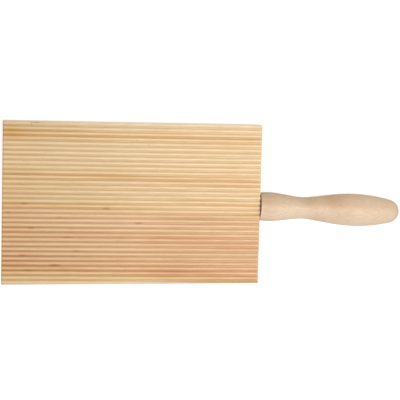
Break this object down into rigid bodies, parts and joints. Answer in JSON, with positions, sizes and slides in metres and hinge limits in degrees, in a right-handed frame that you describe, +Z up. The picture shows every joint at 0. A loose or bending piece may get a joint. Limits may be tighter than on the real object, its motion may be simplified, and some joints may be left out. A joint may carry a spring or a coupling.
{
  "type": "gnocchi board",
  "caption": "Ridged wooden board with a turned handle at one end, for rolling pasta dumplings along its grooves to mark them.",
  "frame": {"origin": "centre of the board's flat underside", "axes": "+X along the ridges towards the handle, +Y across the ridges, +Z up, out of the ridged side"},
  "size_m": [0.3132, 0.1259, 0.0254],
  "materials": {
    "board_beech": "bare, sanded",
    "handle_beech": "bare, turned and sanded",
    "dowel_beech": "bare, fluted"
  },
  "bodies": {
    "root": {"ridged_board": "board_beech", "handle": "handle_beech", "dowel": "dowel_beech"}
  },
  "joints": []
}
